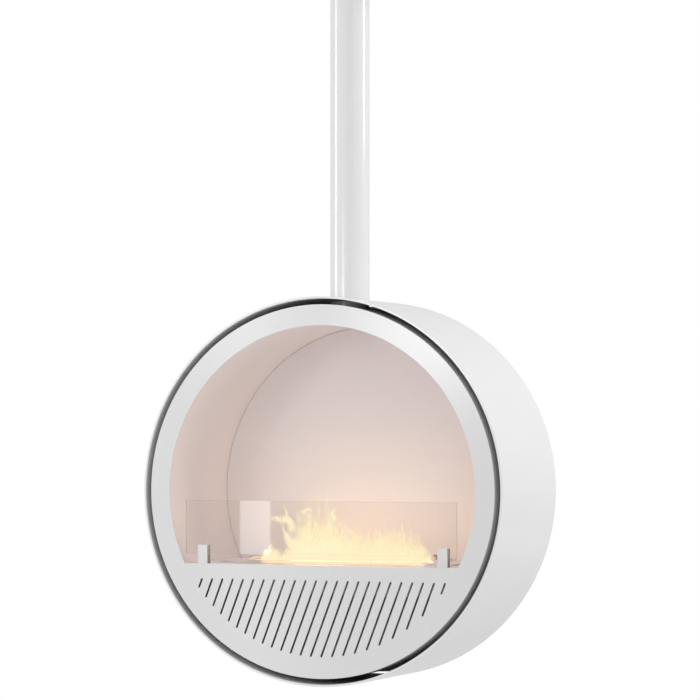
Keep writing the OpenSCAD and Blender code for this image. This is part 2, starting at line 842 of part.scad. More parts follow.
module hearth_rails() {
    color(dark_steel) in_drum() difference() {
        intersection() {
            for (y = [front_rail_y, rear_rail_y])
                translate([-drum_r, y, 0]) union() {
                    translate([0, 0, floor_under_z - rail_wall])
                        cube([drum_d, rail_leg, rail_wall]);
                    translate([0, 0, floor_under_z - rail_leg])
                        cube([drum_d, rail_wall, rail_leg]);
                }
            rod_y(casing_r_in - 2 * seat_gap, front_y, drum_depth, $fn = wide_fn);
        }
        for (p = floor_screw_places())
            translate([p[0], p[1], floor_under_z]) hole(m5, thread_gap, rail_wall + past);
    }
}

module floor_screws() {
    head_h = m5 / 2 - 0.4;
    socket_h = 1.2;
    color(bare_steel) in_drum() for (p = floor_screw_places())
        translate([p[0], p[1], hearth_z - 0.2]) difference() {
            union() {
                translate([0, 0, -head_h]) cylinder(r1 = m5 / 2, r2 = m5 / 2 + head_h, h = head_h);
                translate([0, 0, -floor_t - rail_wall - 2])
                    cylinder(d = m5, h = floor_t + rail_wall + 2);
            }
            translate([0, 0, -socket_h]) cylinder(d = m5 / 2, h = socket_h + past, $fn = 6);
        }
}

module spill_tray() {
    color(bare_steel) in_drum() union() {
        open_box(tray_l, tray_w, tray_h, tank_wall, burner_y, hearth_z + tank_wall);
        difference() {
            translate([-tray_l / 2 - tray_flange, burner_y - tray_w / 2 - tray_flange, hearth_z])
                cube([tray_l + 2 * tray_flange, tray_w + 2 * tray_flange, tank_wall]);
            translate([-tray_l / 2 + tank_wall, burner_y - tray_w / 2 + tank_wall,
                       hearth_z - past])
                cube([tray_l - 2 * tank_wall, tray_w - 2 * tank_wall, tank_wall + 2 * past]);
        }
    }
}

// ---- Glass ----

module glass_clip(side) {
    slot_rear_y = glass_slot_y + glass_slot_w;
    top = hearth_z + clip_h;
    seat = glass_z - pad_t;
    profile = [[clip_front_y, hearth_z], [clip_rear_y, hearth_z],
               [clip_rear_y, top - clip_chamfer], [clip_rear_y - clip_chamfer, top],
               [slot_rear_y, top], [slot_rear_y, seat], [glass_slot_y, seat],
               [glass_slot_y, top], [clip_front_y + clip_chamfer, top],
               [clip_front_y, top - clip_chamfer]];
    color(paint_white) in_drum() difference() {
        translate([side * clip_x - clip_w / 2, 0, 0]) rotate([90, 0, 90])
            linear_extrude(height = clip_w) polygon(profile);
        for (spread = [-1, 1])
            translate([side * clip_x + spread * clip_screw_spread, clip_mid_y, hearth_z])
                rotate([180, 0, 0]) hole(m4, thread_gap, clip_screw_l - floor_t + 0.5);
    }
}

module glass_clip_left() {
    glass_clip(-1);
}

module glass_clip_right() {
    glass_clip(1);
}

module clip_pads() {
    color("gainsboro") in_drum() for (side = [-1, 1])
        translate([side * clip_x - clip_w / 2, glass_slot_y + seat_gap, glass_z - pad_t])
            cube([clip_w, glass_slot_w - 2 * seat_gap, pad_t]);
}

module clip_screws() {
    color(bare_steel) in_drum() for (side = [-1, 1], spread = [-1, 1])
        translate([side * clip_x + spread * clip_screw_spread, clip_mid_y, floor_under_z])
            rotate([180, 0, 0]) socket_screw(m4, clip_screw_l);
}

module glass_pane() {
    color("lightcyan", 0.4) in_drum()
        translate([glass_shift - glass_half_w, glass_slot_y + slide_gap, glass_z])
            cube([2 * glass_half_w, glass_t, glass_h]);
}

// ---- Burner ----

module burner_tank() {
    color(bare_steel) in_drum()
        open_box(tank_l, tank_w, tank_h, tank_wall, burner_y, tray_flange_z);
}

module burner_top() {
    color(firebox_paint) in_drum() difference() {
        translate([-top_l / 2, burner_y - top_w / 2, tray_flange_z])
            cube([top_l, top_w, burner_top_t]);
        translate([-flame_l / 2, flame_y - flame_w / 2, tray_flange_z - past])
            cube([flame_l, flame_w, burner_top_t + 2 * past]);
        for (side = [-1, 1], spread = [-1, 1])
            translate([side * (guide_x + guide_w / 2), guide_mid_y + spread * guide_screw_spread,
                       top_z])
                hole(m4, thread_gap, burner_top_t - 0.2);
    }
}

module fuel_wool() {
    color("white") in_drum()
        translate([-tank_l / 2 + tank_wall + slide_gap,
                   burner_y - tank_w / 2 + tank_wall + slide_gap, tank_floor_z])
            cube([tank_l - 2 * (tank_wall + slide_gap),
                  tank_w - 2 * (tank_wall + slide_gap), wool_h]);
}

module wool_screen() {
    l = tank_l - 2 * (tank_wall + slide_gap);
    w = tank_w - 2 * (tank_wall + slide_gap);
    hole_pitch = 20;
    columns = floor(l / hole_pitch) - 1;
    color(dark_steel) in_drum() difference() {
        translate([-l / 2, burner_y - w / 2, tank_floor_z + wool_h]) cube([l, w, screen_t]);
        for (i = [0:columns - 1], row = [-1, 0, 1])
            translate([(i - (columns - 1) / 2) * hole_pitch, burner_y + row * hole_pitch,
                       tank_floor_z + wool_h - past])
                cylinder(r = 5, h = screen_t + 2 * past);
    }
}

module lid_guides() {
    l = guide_rear_y - guide_front_y;
    color(firebox_paint) in_drum() for (side = [-1, 1])
        translate([side * (guide_x + guide_w / 2), 0, 0]) difference() {
            union() {
                translate([-guide_w / 2, guide_front_y, top_z])
                    cube([guide_w, l, guide_top_z - top_z]);
                translate([-guide_w / 2 - (side > 0 ? guide_reach : 0), guide_front_y,
                           guide_lip_z])
                    cube([guide_w + guide_reach, l, guide_lip_t]);
            }
            for (spread = [-1, 1])
                translate([0, guide_mid_y + spread * guide_screw_spread, guide_top_z])
                    hole(m4, hole_gap, guide_top_z - top_z + past);
        }
}

module guide_screws() {
    color(bare_steel) in_drum() for (side = [-1, 1], spread = [-1, 1])
        translate([side * (guide_x + guide_w / 2), guide_mid_y + spread * guide_screw_spread,
                   guide_top_z])
            socket_screw(m4, guide_top_z - top_z + burner_top_t - 0.5);
}

module burner_lid() {
    color(firebox_paint) in_drum() difference() {
        translate([-lid_l / 2, lid_front_y, lid_z]) cube([lid_l, lid_w, lid_t]);
        translate([knob_x, lid_front_y + lid_w / 2, lid_z + lid_t])
            hole(m5, thread_gap, lid_t + past);
    }
}

module lid_knob() {
    stem_h = 7;
    cap_h = 4;
    color(dark_steel) in_drum() translate([knob_x, lid_front_y + lid_w / 2, lid_z])
        union() {
            cylinder(d = m5, h = lid_t + stem_h);
            translate([0, 0, lid_t]) cylinder(r = 4, h = stem_h);
            translate([0, 0, lid_t + stem_h]) cylinder(r1 = 5, r2 = 7, h = cap_h / 2);
            translate([0, 0, lid_t + stem_h + cap_h / 2])
                cylinder(r1 = 7, r2 = 5.5, h = cap_h / 2);
        }
}

ceiling_plate();
hanger_spindle();
castle_nut();
split_pin();
shaft_washer();
bearing_balls();
ball_cage();
housing_washer();
guide_bush();
ceiling_cover();
cover_screws();
pole_head();
pole_head_screws();
pole();
pole_flange();
flange_bolts();
saddle();
saddle_bolts();
outer_shell();
shell_studs();
shell_spacers();
shell_nuts();
inner_casing();
front_panel();
panel_nuts();
rear_panel();
rear_panel_screws();
firebox_liner();
firebox_back();
firebox_back_nuts();
liner_insulation();
back_insulation();
hearth_floor();
hearth_rails();
floor_screws();
spill_tray();
glass_clip_left();
glass_clip_right();
clip_pads();
clip_screws();
glass_pane();
burner_tank();
burner_top();
fuel_wool();
wool_screen();
lid_guides();
guide_screws();
burner_lid();
lid_knob();
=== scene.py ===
import math
import random

import bmesh
import bpy
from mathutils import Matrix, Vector, noise


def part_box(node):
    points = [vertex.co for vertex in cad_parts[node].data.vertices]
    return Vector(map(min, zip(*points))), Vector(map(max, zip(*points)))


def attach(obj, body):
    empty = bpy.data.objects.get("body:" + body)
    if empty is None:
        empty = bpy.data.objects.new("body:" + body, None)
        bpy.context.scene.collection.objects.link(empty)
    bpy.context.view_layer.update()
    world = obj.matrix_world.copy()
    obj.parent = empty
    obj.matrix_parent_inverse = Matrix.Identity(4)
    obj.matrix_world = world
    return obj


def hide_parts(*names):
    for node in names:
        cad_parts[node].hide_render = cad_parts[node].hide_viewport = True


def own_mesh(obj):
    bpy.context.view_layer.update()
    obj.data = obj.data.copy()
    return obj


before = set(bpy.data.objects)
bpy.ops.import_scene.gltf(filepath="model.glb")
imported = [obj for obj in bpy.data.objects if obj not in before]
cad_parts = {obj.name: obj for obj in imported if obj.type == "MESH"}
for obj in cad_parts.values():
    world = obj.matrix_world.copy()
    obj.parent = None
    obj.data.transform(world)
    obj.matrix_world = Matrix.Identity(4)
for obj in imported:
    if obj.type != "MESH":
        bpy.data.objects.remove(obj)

bl_info = {
    "name": "Hanging Fireplace",
    "version": (1, 0, 0),
    "blender": (4, 5, 0),
    "location": "View3D > Sidebar > Fireplace",
    "description": "Dresses the hanging drum fireplace: paint, glass, burner and flames",
    "category": "Object",
}

# ---- Sizes read from the frame, in metres ----

SHELL_LOW, SHELL_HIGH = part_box("outer_shell")
DRUM_R = (SHELL_HIGH.x - SHELL_LOW.x) / 2
DRUM_Z = (SHELL_HIGH.z + SHELL_LOW.z) / 2
HEARTH_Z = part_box("hearth_floor")[1].z
PANE_LOW, PANE_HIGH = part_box("glass_pane")
TOP_LOW, TOP_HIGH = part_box("burner_top")
SCREEN_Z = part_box("wool_screen")[1].z

# ---- What a user would change ----


def colour_setting(name, text, default):
    return bpy.props.FloatVectorProperty(name=name, description=text, subtype="COLOR",
                                         size=3, min=0.0, max=1.0, default=default)


def length_setting(name, text, default, low=0.0, high=10.0):
    return bpy.props.FloatProperty(name=name, description=text, unit="LENGTH",
                                   min=low, max=high, default=default, precision=4)


def share_setting(name, text, default, high=1.0):
    return bpy.props.FloatProperty(name=name, description=text, subtype="FACTOR",
                                   min=0.0, max=high, default=default)


class PaintSettings(bpy.types.PropertyGroup):
    white: colour_setting("White", "Powder coat of the shell, the panels and the pole",
                          (0.86, 0.86, 0.86))
    black: colour_setting("Black", "Matt paint of the pieces inside", (0.022, 0.022, 0.024))
    gap: colour_setting("Gap", "Paint inside the outer shell, round the shadow gap",
                        (0.68, 0.68, 0.685))
    casing: colour_setting("Casing", "Paint of the inner casing, the gap's inner wall",
                           (0.60, 0.60, 0.605))
    # Painted shade: the dark colour of the clips' sideways faces
    shaded: colour_setting("Sawn", "Bare sawn sides of the glass clips", (0.24, 0.21, 0.19))
    gloss: share_setting("Roughness", "Mean roughness of the powder coat", 0.16)
    peel: length_setting("Peel", "Height of the powder coat's fine orange peel", 0.00001,
                         0.0, 0.0005)
    # Painted shade: the front panel's coat is a darker copy of the white
    panel: share_setting("Panel shade", "How bright the front panel is beside the shell",
                         0.915)
    shell_wall: length_setting("Shell wall", "Wall of the outer shell, white at its rims",
                               0.0045, 0.001, 0.02)


class FireboxSettings(bpy.types.PropertyGroup):
    paint: colour_setting("Paint", "Heat-resistant paint of the firebox", (0.865, 0.820, 0.842))
    # Above the slot: browning from the fire, with the flames' warm light painted into the paint
    haze_and_glow: share_setting("Smoke haze", "How far the fire has browned the paint above it", 0.10)
    # At the flames' right end: painted flame light, the paint warmer where the glow is stronger
    right_end_glow: share_setting("Right haze", "How far it has browned the paint at its right "
                              "end, where the flames stand nearer the liner", 0.65)
    # Beside the slot: browning from the fire, with the flames' peach light painted in
    slot_browning_and_glow: share_setting("Slot haze", "How far it has browned the pieces round the slot",
                             0.9)
    blanket: colour_setting("Blanket", "Ceramic fibre round the firebox", (0.78, 0.75, 0.68))


class GlassSettings(bpy.types.PropertyGroup):
    tint: colour_setting("Tint", "What one face of the pane lets through",
                         (0.972, 0.962, 0.955))
    edge: colour_setting("Edge", "Colour of the pane's ground edges", (0.74, 0.68, 0.65))
    # Painted shade: the dark band along the pane's edges
    rim_shade: colour_setting("Rim", "Darker band that a pane shows along its edges",
                        (0.36, 0.28, 0.26))
    rim_cover: share_setting("Rim cover", "How solid that band looks", 0.07)
    rim_reach: length_setting("Rim reach", "Width of that band", 0.002, 0.0005, 0.01)
    arris: length_setting("Arris", "Width of the pane's ground arrises", 0.0006, 0.0, 0.002)


class BurnerSettings(bpy.types.PropertyGroup):
    steel: colour_setting("Steel", "Brushed stainless steel", (0.74, 0.72, 0.70))
    tint: colour_setting("Heat tint", "Straw tint that the fire leaves on the tank",
                         (0.62, 0.48, 0.30))
    tint_reach: length_setting("Tint reach", "How far the heat tint spreads down the tank",
                               0.03, 0.005, 0.1)
    knob: colour_setting("Knob", "Steel of the lid's knob, browned by the fire",
                         (0.40, 0.33, 0.27))
    wool: colour_setting("Fuel wool", "Absorbent ceramic wool", (0.88, 0.87, 0.84))


class FlameSettings(bpy.types.PropertyGroup):
    reach: length_setting("Reach", "Height of the tallest flame over the burner", 0.118,
                          0.03, 0.25)
    heart: colour_setting("Heart", "Colour low in the flames", (0.932, 0.884, 0.577))
    tip: colour_setting("Tips", "Colour of the flames' tips", (0.985, 0.79, 0.49))
    foot: colour_setting("Foot", "Colour at the flames' foot", (0.890, 0.745, 0.480))
    light: colour_setting("Light", "Colour of the light that the flames give",
                          (0.97, 0.745, 0.475))
    strength: bpy.props.FloatProperty(name="Strength", description="How bright the flames are",
                                      min=0.0, max=20.0, default=1.15)
    glow: bpy.props.FloatProperty(name="Glow", description="How much more light the flames "
                                  "give than they show", min=0.0, max=20.0, default=3.27)
    licks: bpy.props.IntProperty(name="Licks", description="Thin licks over the flames' body",
                                 min=0, max=400, default=46)
    curtains: bpy.props.IntProperty(name="Curtains", description="Sheets of flame in depth",
                                    min=1, max=8, default=2)
    seed: bpy.props.IntProperty(name="Seed", description="Another seed, another flame",
                                default=7)


class MetalSettings(bpy.types.PropertyGroup):
    zinc: colour_setting("Zinc", "Plated screws, nuts and ceiling plate", (0.60, 0.60, 0.62))
    dark: colour_setting("Dark steel", "Oiled steel of the spindle and the rails",
                         (0.16, 0.16, 0.17))
    bearing: colour_setting("Bearing steel", "Ground and polished bearing parts",
                            (0.66, 0.66, 0.68))
    bronze: colour_setting("Bronze", "Turned bronze of the bush and the cage",
                           (0.62, 0.43, 0.20))


class StageSettings(bpy.types.PropertyGroup):
    floor_z: length_setting("Floor", "Height of the floor below the ceiling", -2.4, -6.0, 0.0)
    floor_r: length_setting("Floor radius", "Radius of the round floor", 8.0, 1.0, 20.0)
    front: share_setting("Front light", "Brightness of the room on the camera's side",
                         0.88, 2.0)
    rear: share_setting("Rear light", "Brightness of the room behind the fireplace",
                        0.68, 2.0)
    left: share_setting("Left light", "Brightness of the room up on the left", 1.05, 4.0)
    right: share_setting("Right light", "Brightness of the room up on the right", 2.55, 4.0)
    boxes: share_setting("Soft boxes", "Share of the soft boxes' full power", 1.0, 4.0)


SETTINGS = {"paint": PaintSettings, "firebox": FireboxSettings, "glass": GlassSettings,
            "burner": BurnerSettings, "flame": FlameSettings, "metal": MetalSettings,
            "stage": StageSettings}


def settings_of(group):
    return getattr(bpy.context.scene, "fireplace_" + group)


# ---- Finishes ----


class Wire:
    """One socket in a finish. A sum on wires adds the Math nodes that it stands for."""

    def __init__(self, finish, socket):
        self.finish = finish
        self.socket = socket

    def math(self, operation, *values):
        return self.finish.add("ShaderNodeMath", {"operation": operation},
                               dict(enumerate(values)))

    def __add__(self, other):
        return self.math("ADD", self, other)

    def __radd__(self, other):
        return self.math("ADD", other, self)

    def __sub__(self, other):
        return self.math("SUBTRACT", self, other)

    def __rsub__(self, other):
        return self.math("SUBTRACT", other, self)

    def __mul__(self, other):
        return self.math("MULTIPLY", self, other)

    def __rmul__(self, other):
        return self.math("MULTIPLY", other, self)

    def __pow__(self, other):
        return self.math("POWER", self, other)

    def __abs__(self):
        return self.math("ABSOLUTE", self)

    def least(self, other):
        return self.math("MINIMUM", self, other)

    def most(self, other):
        return self.math("MAXIMUM", self, other)

    def step(self, start, end):
        """0 up to start, 1 from end on, and a smooth rise between them."""
        return self.finish.add("ShaderNodeMapRange",
                               {"interpolation_type": "SMOOTHSTEP"},
                               {"Value": self, "From Min": start, "From Max": end})


class Finish:
    """A node tree under construction: a material's, or the world's."""

    def __init__(self, name, owner=None):
        self.owner = owner or bpy.data.materials.new(name)
        self.owner.use_nodes = True
        self.tree = self.owner.node_tree
        self.tree.nodes.clear()

    def add(self, kind, settings=None, inputs=None, output=0):
        """Adds one node: its settings first, then its sockets' values or wires."""
        node = self.tree.nodes.new(kind)
        for name, value in (settings or {}).items():
            if name == "stops":
                self.set_stops(node.color_ramp, value)
            else:
                setattr(node, name, value)
        for key, value in (inputs or {}).items():
            if isinstance(value, Wire):
                self.tree.links.new(value.socket, node.inputs[key])
            else:
                node.inputs[key].default_value = value
        return Wire(self, node.outputs[output]) if len(node.outputs) else node

    @staticmethod
    def set_stops(ramp, stops):
        while len(ramp.elements) < len(stops):
            ramp.elements.new(1.0)
        for element, (place, colour) in zip(ramp.elements, stops):
            element.position = place
            element.color = (*colour, 1.0)

    def place(self):
        """Where a point of the piece is, in the part's own frame."""
        return self.add("ShaderNodeTexCoord", output="Object")

    def split(self, vector):
        apart = self.add("ShaderNodeSeparateXYZ", None, {0: vector}).socket.node
        return [Wire(self, socket) for socket in apart.outputs]

    def stretch(self, vector, factors):
        return self.add("ShaderNodeVectorMath", {"operation": "MULTIPLY"},
                        {0: vector, 1: factors})

    def shift(self, vector, other):
        return self.add("ShaderNodeVectorMath", {"operation": "ADD"}, {0: vector, 1: other})

    def grain(self, vector, scale, detail=2.0, roughness=0.5, warp=0.0, output="Fac"):
        return self.add("ShaderNodeTexNoise", None,
                        {"Vector": vector, "Scale": scale, "Detail": detail,
                         "Roughness": roughness, "Distortion": warp}, output)

    def mix(self, mask, a, b):
        """Colour a where mask is 0 and colour b where it is 1."""
        a, b = [c if isinstance(c, Wire) else (*c, 1.0) for c in (a, b)]
        return self.add("ShaderNodeMix", {"data_type": "RGBA"}, {0: mask, 6: a, 7: b}, 2)

    def ramp(self, mask, stops):
        return self.add("ShaderNodeValToRGB", {"stops": stops}, {0: mask})

    def bump(self, height, depth):
        return self.add("ShaderNodeBump", None, {"Height": height, "Distance": depth})

    def round_axis(self, axis):
        """Distance from the drum's axis, or from the pole's."""
        x, y, z = self.split(self.place())
        across = z - DRUM_Z if axis == "drum" else y
        return (x * x + across * across) ** 0.5

    def surface(self, **sockets):
        named = {key.replace("_", " ").title().replace("Ior", "IOR"): value
                 for key, value in sockets.items()}
        for key, value in named.items():
            if key in ("Base Color", "Emission Color") and not isinstance(value, Wire):
                named[key] = (*value, 1.0)
        return self.add("ShaderNodeBsdfPrincipled", None, named)

    def finish(self, shader):
        kind = "ShaderNodeOutputMaterial"
        if isinstance(self.owner, bpy.types.World):
            kind = "ShaderNodeOutputWorld"
        self.add(kind, None, {"Surface": shader})
        return self.owner


def darker(colour, share):
    return tuple(c * share for c in colour)


def toned(colour, shares):
    return tuple(c * share for c, share in zip(colour, shares))


# How fine each grain is: noise scales, in waves for each metre
PEEL_GRAIN = 420.0
GRIT_GRAIN = 900.0

# Mean roughness of the matt paints, and of those that the fire has baked smoother
MATT = 0.62
BAKED = 0.50

# What a face of glass mirrors when it is seen straight on
HEAD_ON_MIRROR = 0.04


def powder_coat(name, gap_side=None, painted_shade=1.0):
    """Satin white powder coat. gap_side is the radius inside which the shell is grey; the shade
    factor darkens the whole coat, as painted shade.
    """
    paint = settings_of("paint")
    full = darker(paint.white, painted_shade)
    f = Finish(name)
    place = f.place()
    peel = f.grain(place, PEEL_GRAIN, 1.0)
    cloud = f.grain(place, 5.0, 3.0)
    scuff = f.grain(f.stretch(place, (30.0, 30.0, 90.0)), 2.0, 4.0, 0.7)
    white = f.mix(cloud.step(0.35, 0.7), darker(full, 0.985), full)
    rough = paint.gloss + (peel - 0.5) * 0.03 + (cloud - 0.5) * 0.04
    rough = rough + scuff.step(0.62, 0.75) * 0.04
    if gap_side:
        grey = f.mix(cloud.step(0.3, 0.7), paint.gap, darker(paint.gap, 1.12))
        outside = f.round_axis("drum").step(gap_side + 0.0003, gap_side + 0.0009)
        white = f.mix(outside, grey, white)
        rough = (1 - outside) * MATT + outside * rough
    return f.finish(f.surface(base_color=white, roughness=rough,
                              normal=f.bump(peel, paint.peel)))


def matt_coat(name, dark, cloudy=1.8):
    f = Finish(name)
    place = f.place()
    grit = f.grain(place, 700.0, 2.0)
    cloud = f.grain(place, 9.0, 4.0)
    colour = f.mix(cloud.step(0.3, 0.75), dark, darker(dark, cloudy))
    return f.finish(f.surface(base_color=colour, roughness=0.58 + (grit - 0.5) * 0.12,
                              normal=f.bump(grit, 0.00003)))


def firebox_coat(name, rough=MATT, heat_and_glow=0.0):
    """Matt heat-resistant paint. Above the flame slot it is browner and warmer: browning from
    the fire with the flames' warm light painted in. At the flames' right end it is warmer, as
    painted flame light. On a heated piece it is also browner and peach beside the slot:
    browning with the flames' light painted in."""
    box = settings_of("firebox")
    f = Finish(name)
    place = f.place()
    x, _, z = f.split(place)
    height = z - HEARTH_Z
    grit = f.grain(place, GRIT_GRAIN, 2.0)
    cloud = f.grain(place, 4.0, 4.0)
    # Browning and painted flame light above the slot
    plume_browning_and_glow = (1 - abs(x).step(0.078, 0.312)) * (1 - height.step(0.02, 0.42)) * (0.5 + cloud)
    sound = f.mix(cloud.step(0.3, 0.7), darker(box.paint, 0.975), box.paint)
    browned_and_lit = toned(box.paint, (0.97, 0.90, 0.82))
    colour = f.mix(plume_browning_and_glow * box.haze_and_glow, sound, browned_and_lit)
    # Painted flame light: warmer paint at the flames' right end
    right_glow_mask = x.step(0.10, 0.30) * (1 - height.step(0.10, 0.35))
    colour = f.mix(right_glow_mask * box.right_end_glow, colour, browned_and_lit)
    if heat_and_glow:
        # Browning beside the slot, with the flames' peach light painted in
        beside = (1 - abs(x).step(0.16, 0.225)) * heat_and_glow * (0.8 + cloud * 0.4)
        colour = f.mix(beside, colour, toned(box.paint, (0.84, 0.72, 0.56)))
    return f.finish(f.surface(base_color=colour, roughness=rough + (grit - 0.5) * 0.1,
                              normal=f.bump(grit, 0.00003)))


def fibre(name, colour, coarse):
    """Ceramic fibre: matted short strands with loose tufts."""
    f = Finish(name)
    place = f.place()
    strands = f.grain(f.stretch(place, (1.0, 1.0, 3.0)), coarse, 6.0, 0.75, 1.6)
    tufts = f.grain(place, coarse / 9.0, 3.0)
    base = f.mix(strands.step(0.3, 0.7), darker(colour, 0.72), colour)
    base = f.mix(tufts.step(0.45, 0.75) * 0.5, base, darker(colour, 1.08))
    return f.finish(f.surface(base_color=base, roughness=0.93 + (strands - 0.5) * 0.1,
                              normal=f.bump(strands + tufts * 2.0, 0.0008)))


def brushed_steel(name, tinted=True):
    """Stainless steel brushed upright; a tinted piece is straw-coloured near its top."""
    burner = settings_of("burner")
    f = Finish(name)
    place = f.place()
    z = f.split(place)[2]
    lines = f.grain(f.stretch(place, (1.0, 1.0, 0.03)), 1400.0, 3.0, 0.6)
    cloud = f.grain(place, 22.0, 3.0)
    base = f.mix(lines.step(0.3, 0.7), darker(burner.steel, 0.86), burner.steel)
    base = f.mix(cloud.step(0.5, 0.8) * 0.4, base, darker(burner.steel, 0.9))
    if tinted:
        heat = 1 - (HEARTH_Z - z).step(0.0, burner.tint_reach)
        base = f.mix(heat * (0.35 + cloud * 0.5), base, burner.tint)
    rough = 0.26 + lines * 0.14 + cloud * 0.06
    return f.finish(f.surface(base_color=base, metallic=1.0, roughness=rough,
                              normal=f.bump(lines, 0.00002)))


def clip_coat(name):
    """White powder coat, toned down as painted shade on the front, with the faces that look
    sideways painted dark and streaked as painted shade.
    """
    paint = settings_of("paint")
    f = Finish(name)
    place = f.place()
    facing = f.add("ShaderNodeTexCoord", output="Normal")
    side = abs(f.split(facing)[0]).step(0.6, 0.9)
    peel = f.grain(place, PEEL_GRAIN, 1.0)
    cloud = f.grain(place, 60.0, 3.0)
    side_streaks = f.grain(f.stretch(place, (1.0, 1.0, 0.08)), 1900.0, 3.0, 0.6)
    # Painted shade: the clip's white is a darker copy of the powder coat
    white = f.mix(cloud.step(0.35, 0.7), darker(paint.white, 0.92), darker(paint.white, 0.94))
    # Painted shade: the sideways faces dark, streaked up and down
    painted_side_shade = f.mix(side_streaks.step(0.3, 0.7), darker(paint.shaded, 0.8), paint.shaded)
    rough = paint.gloss + (peel - 0.5) * 0.05 + side * (0.14 + side_streaks * 0.1)
    return f.finish(f.surface(base_color=f.mix(side, white, painted_side_shade), roughness=rough,
                              normal=f.bump(peel * (1 - side) + side_streaks * side, paint.peel)))


def plated_zinc(name):
    metal = settings_of("metal")
    f = Finish(name)
    place = f.place()
    spangle = f.grain(place, 180.0, 3.0, 0.6)
    cloud = f.grain(place, 35.0, 3.0)
    base = f.ramp(cloud, [(0.30, metal.zinc), (0.55, darker(metal.zinc, 0.9)),
                          (0.75, toned(metal.zinc, (1.02, 1.0, 0.9)))])
    return f.finish(f.surface(base_color=base, metallic=1.0, roughness=0.3 + spangle * 0.16,
                              normal=f.bump(spangle, 0.00002)))


def oiled_steel(name):
    metal = settings_of("metal")
    f = Finish(name)
    place = f.place()
    scale = f.grain(place, 60.0, 5.0, 0.65)
    pits = f.grain(place, 500.0, 2.0)
    base = f.mix(scale.step(0.35, 0.7), metal.dark, darker(metal.dark, 1.6))
    return f.finish(f.surface(base_color=base, metallic=0.85,
                              roughness=0.36 + scale * 0.2,
                              normal=f.bump(pits + scale, 0.00004)))


def turned_metal(name, colour, fineness, rough):
    """Metal turned or ground round the pole's axis: fine rings."""
    f = Finish(name)
    place = f.place()
    z = f.split(place)[2]
    around = f.round_axis("pole")
    spot = f.add("ShaderNodeCombineXYZ", None, {0: around, 1: z})
    rings = f.grain(spot, fineness, 2.0, 0.6)
    film = f.grain(place, 90.0, 3.0)
    base = f.mix(rings.step(0.3, 0.7), darker(colour, 0.86), colour)
    base = f.mix(film.step(0.5, 0.8) * 0.35, base, darker(colour, 0.8))
    return f.finish(f.surface(base_color=base, metallic=1.0, roughness=rough + film * 0.08,
                              normal=f.bump(rings, 0.00001)))


def silicone(name):
    f = Finish(name)
    place = f.place()
    dust = f.grain(place, 320.0, 3.0)
    base = f.mix(dust.step(0.4, 0.75), (0.70, 0.71, 0.70), (0.82, 0.82, 0.80))
    return f.finish(f.surface(base_color=base, roughness=0.42 + dust * 0.2,
                              subsurface_weight=0.3, normal=f.bump(dust, 0.00003)))


def pane_glass(name):
    """Clear toughened glass: ground edges, and a dark band painted on the faces along them as
    painted shade, where glass darkens what shows through near its edges.
    """
    glass = settings_of("glass")
    f = Finish(name)
    place = f.place()
    x, _, z = f.split(place)
    middle = (PANE_LOW.x + PANE_HIGH.x) / 2
    from_side = (PANE_HIGH.x - middle) - abs(x - middle)
    from_edge = from_side.least(PANE_HIGH.z - z)
    # Painted shade: a dark band on the faces along the pane's edges
    shade_band = 1 - from_edge.step(0.0, glass.rim_reach)
    facing = abs(f.split(f.add("ShaderNodeTexCoord", output="Normal"))[1])
    ground = 1 - facing.step(0.3, 0.8)
    smear = f.grain(f.stretch(place, (1.0, 1.0, 0.4)), 26.0, 4.0, 0.6)
    grit = f.grain(place, GRIT_GRAIN, 2.0)
    slope = f.add("ShaderNodeLayerWeight", None, {"Blend": 0.5}, 1)
    mirror = slope ** 5 * (1 - HEAD_ON_MIRROR) + HEAD_ON_MIRROR
    shine = f.add("ShaderNodeBsdfGlossy", None,
                  {"Color": (0.95, 0.96, 0.96, 1.0), "Roughness": 0.015})
    colour = f.mix(ground, glass.rim_shade, f.mix(grit, darker(glass.edge, 0.85), glass.edge))
    edge = f.surface(base_color=colour, roughness=0.35 + grit * 0.2,
                     normal=f.bump(grit, 0.00004))
    clear = f.add("ShaderNodeBsdfTransparent", None, {"Color": (*glass.tint, 1.0)})
    face = f.add("ShaderNodeMixShader", None, {0: mirror, 1: clear, 2: shine})
    cover = (shade_band * (0.7 + smear * 0.6) * glass.rim_cover).most(ground * 0.75)
    return f.finish(f.add("ShaderNodeMixShader", None, {0: cover, 1: face, 2: edge}))


